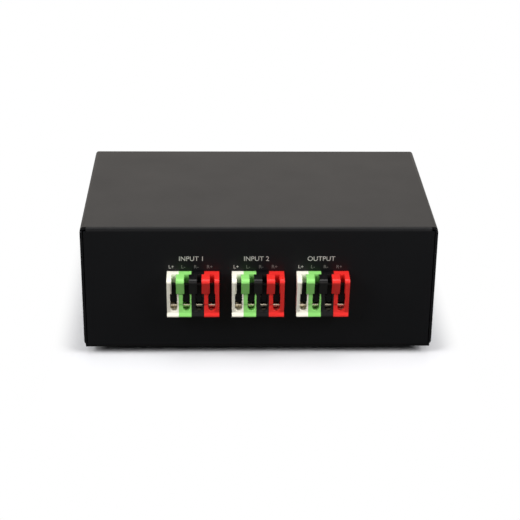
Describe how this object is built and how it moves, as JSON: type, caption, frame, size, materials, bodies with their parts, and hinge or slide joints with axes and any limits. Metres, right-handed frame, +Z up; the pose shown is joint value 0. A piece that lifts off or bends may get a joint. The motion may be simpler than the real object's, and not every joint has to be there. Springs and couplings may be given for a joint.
{
  "type": "speaker selector switch",
  "caption": "Low black steel box with three four-pole push-terminal blocks on the rear wall and two interlocked square push buttons on the front.",
  "frame": {"origin": "on the table, under the middle of the box", "axes": "+X to the right seen from the terminal side, +Y from the terminal wall to the buttons, +Z up"},
  "size_m": [0.1396, 0.102, 0.0558],
  "materials": {
    "painted_steel": "semi-gloss black powder paint",
    "foot_rubber": "matte",
    "black_screw": "black oxide",
    "plated_steel": "zinc plated",
    "board_laminate": "green solder resist",
    "white_plastic": "moulded",
    "green_plastic": "moulded",
    "black_plastic": "moulded",
    "red_plastic": "moulded",
    "lever_plastic": "moulded",
    "spring_steel": "bright spring steel",
    "tinned_contact": "tinned",
    "switch_plastic": "moulded",
    "plunger_plastic": "moulded acetal",
    "button_plastic": "moulded satin"
  },
  "bodies": {
    "case": {"cover": "painted_steel", "base_plate": "painted_steel", "rubber_feet": "foot_rubber", "base_screws": "black_screw", "board_standoffs": "plated_steel", "board_screws": "plated_steel", "main_board": "board_laminate", "input_1_left_plus_housing": "white_plastic", "input_1_left_plus_spring": "spring_steel", "input_1_left_minus_housing": "green_plastic", "input_1_left_minus_spring": "spring_steel", "input_1_right_minus_housing": "black_plastic", "input_1_right_minus_spring": "spring_steel", "input_1_right_plus_housing": "red_plastic", "input_1_right_plus_spring": "spring_steel", "input_1_contacts": "tinned_contact", "input_2_left_plus_housing": "white_plastic", "input_2_left_plus_spring": "spring_steel", "input_2_left_minus_housing": "green_plastic", "input_2_left_minus_spring": "spring_steel", "input_2_right_minus_housing": "black_plastic", "input_2_right_minus_spring": "spring_steel", "input_2_right_plus_housing": "red_plastic", "input_2_right_plus_spring": "spring_steel", "input_2_contacts": "tinned_contact", "output_left_plus_housing": "white_plastic", "output_left_plus_spring": "spring_steel", "output_left_minus_housing": "green_plastic", "output_left_minus_spring": "spring_steel", "output_right_minus_housing": "black_plastic", "output_right_minus_spring": "spring_steel", "output_right_plus_housing": "red_plastic", "output_right_plus_spring": "spring_steel", "output_contacts": "tinned_contact", "switch_frame": "plated_steel", "switch_pins": "tinned_contact", "rocker_rivet": "plated_steel", "detent_spring": "spring_steel", "switch_body_left": "switch_plastic", "switch_body_right": "switch_plastic"},
    "input_1_left_plus_lever": {"input_1_left_plus_lever": "lever_plastic"},
    "input_1_left_minus_lever": {"input_1_left_minus_lever": "lever_plastic"},
    "input_1_right_minus_lever": {"input_1_right_minus_lever": "lever_plastic"},
    "input_1_right_plus_lever": {"input_1_right_plus_lever": "lever_plastic"},
    "input_2_left_plus_lever": {"input_2_left_plus_lever": "lever_plastic"},
    "input_2_left_minus_lever": {"input_2_left_minus_lever": "lever_plastic"},
    "input_2_right_minus_lever": {"input_2_right_minus_lever": "lever_plastic"},
    "input_2_right_plus_lever": {"input_2_right_plus_lever": "lever_plastic"},
    "output_left_plus_lever": {"output_left_plus_lever": "lever_plastic"},
    "output_left_minus_lever": {"output_left_minus_lever": "lever_plastic"},
    "output_right_minus_lever": {"output_right_minus_lever": "lever_plastic"},
    "output_right_plus_lever": {"output_right_plus_lever": "lever_plastic"},
    "rocker": {"interlock_rocker": "plated_steel"},
    "button_left": {"plunger_left": "plunger_plastic", "button_cap_left": "button_plastic"},
    "button_right": {"plunger_right": "plunger_plastic", "button_cap_right": "button_plastic"}
  },
  "joints": [
    {"name": "input_1_left_plus_press", "type": "hinge", "parent": "case", "child": "input_1_left_plus_lever", "pos_m": [-0.03359, -0.04635, 0.0268], "axis": [-1, 0, 0], "range_deg": [0, 12], "stiffness_Nm_per_rad": 0.05, "springref_deg": -5.73, "deforming": ["input_1_left_plus_spring"]},
    {"name": "input_1_left_minus_press", "type": "hinge", "parent": "case", "child": "input_1_left_minus_lever", "pos_m": [-0.02859, -0.04635, 0.0268], "axis": [-1, 0, 0], "range_deg": [0, 12], "stiffness_Nm_per_rad": 0.05, "springref_deg": -5.73, "deforming": ["input_1_left_minus_spring"]},
    {"name": "input_1_right_minus_press", "type": "hinge", "parent": "case", "child": "input_1_right_minus_lever", "pos_m": [-0.0236, -0.04635, 0.0268], "axis": [-1, 0, 0], "range_deg": [0, 12], "stiffness_Nm_per_rad": 0.05, "springref_deg": -5.73, "deforming": ["input_1_right_minus_spring"]},
    {"name": "input_1_right_plus_press", "type": "hinge", "parent": "case", "child": "input_1_right_plus_lever", "pos_m": [-0.0186, -0.04635, 0.0268], "axis": [-1, 0, 0], "range_deg": [0, 12], "stiffness_Nm_per_rad": 0.05, "springref_deg": -5.73, "deforming": ["input_1_right_plus_spring"]},
    {"name": "input_2_left_plus_press", "type": "hinge", "parent": "case", "child": "input_2_left_plus_lever", "pos_m": [-0.00809, -0.04635, 0.0268], "axis": [-1, 0, 0], "range_deg": [0, 12], "stiffness_Nm_per_rad": 0.05, "springref_deg": -5.73, "deforming": ["input_2_left_plus_spring"]},
    {"name": "input_2_left_minus_press", "type": "hinge", "parent": "case", "child": "input_2_left_minus_lever", "pos_m": [-0.0031, -0.04635, 0.0268], "axis": [-1, 0, 0], "range_deg": [0, 12], "stiffness_Nm_per_rad": 0.05, "springref_deg": -5.73, "deforming": ["input_2_left_minus_spring"]},
    {"name": "input_2_right_minus_press", "type": "hinge", "parent": "case", "child": "input_2_right_minus_lever", "pos_m": [0.00191, -0.04635, 0.0268], "axis": [-1, 0, 0], "range_deg": [0, 12], "stiffness_Nm_per_rad": 0.05, "springref_deg": -5.73, "deforming": ["input_2_right_minus_spring"]},
    {"name": "input_2_right_plus_press", "type": "hinge", "parent": "case", "child": "input_2_right_plus_lever", "pos_m": [0.0069, -0.04635, 0.0268], "axis": [-1, 0, 0], "range_deg": [0, 12], "stiffness_Nm_per_rad": 0.05, "springref_deg": -5.73, "deforming": ["input_2_right_plus_spring"]},
    {"name": "output_left_plus_press", "type": "hinge", "parent": "case", "child": "output_left_plus_lever", "pos_m": [0.01741, -0.04635, 0.0268], "axis": [-1, 0, 0], "range_deg": [0, 12], "stiffness_Nm_per_rad": 0.05, "springref_deg": -5.73, "deforming": ["output_left_plus_spring"]},
    {"name": "output_left_minus_press", "type": "hinge", "parent": "case", "child": "output_left_minus_lever", "pos_m": [0.02241, -0.04635, 0.0268], "axis": [-1, 0, 0], "range_deg": [0, 12], "stiffness_Nm_per_rad": 0.05, "springref_deg": -5.73, "deforming": ["output_left_minus_spring"]},
    {"name": "output_right_minus_press", "type": "hinge", "parent": "case", "child": "output_right_minus_lever", "pos_m": [0.0274, -0.04635, 0.0268], "axis": [-1, 0, 0], "range_deg": [0, 12], "stiffness_Nm_per_rad": 0.05, "springref_deg": -5.73, "deforming": ["output_right_minus_spring"]},
    {"name": "output_right_plus_press", "type": "hinge", "parent": "case", "child": "output_right_plus_lever", "pos_m": [0.03241, -0.04635, 0.0268], "axis": [-1, 0, 0], "range_deg": [0, 12], "stiffness_Nm_per_rad": 0.05, "springref_deg": -5.73, "deforming": ["output_right_plus_spring"]},
    {"name": "right_button_press", "type": "slide", "parent": "case", "child": "button_right", "axis": [0, -1, 0], "range_m": [0, 0.004]},
    {"name": "left_button_press", "type": "slide", "parent": "case", "child": "button_left", "axis": [0, -1, 0], "range_m": [-0.004, 0]},
    {"name": "rocker_turn", "type": "hinge", "parent": "case", "child": "rocker", "pos_m": [0, 0.0263, 0.03195], "axis": [0, 0, 1], "range_deg": [-23.17, 0], "deforming": ["detent_spring"]}
  ],
  "couplings": [
    {"joint": "left_button_press", "follows": "right_button_press", "ratio": -1},
    {"joint": "rocker_turn", "follows": "right_button_press", "rad_per_m": -100.68}
  ]
}
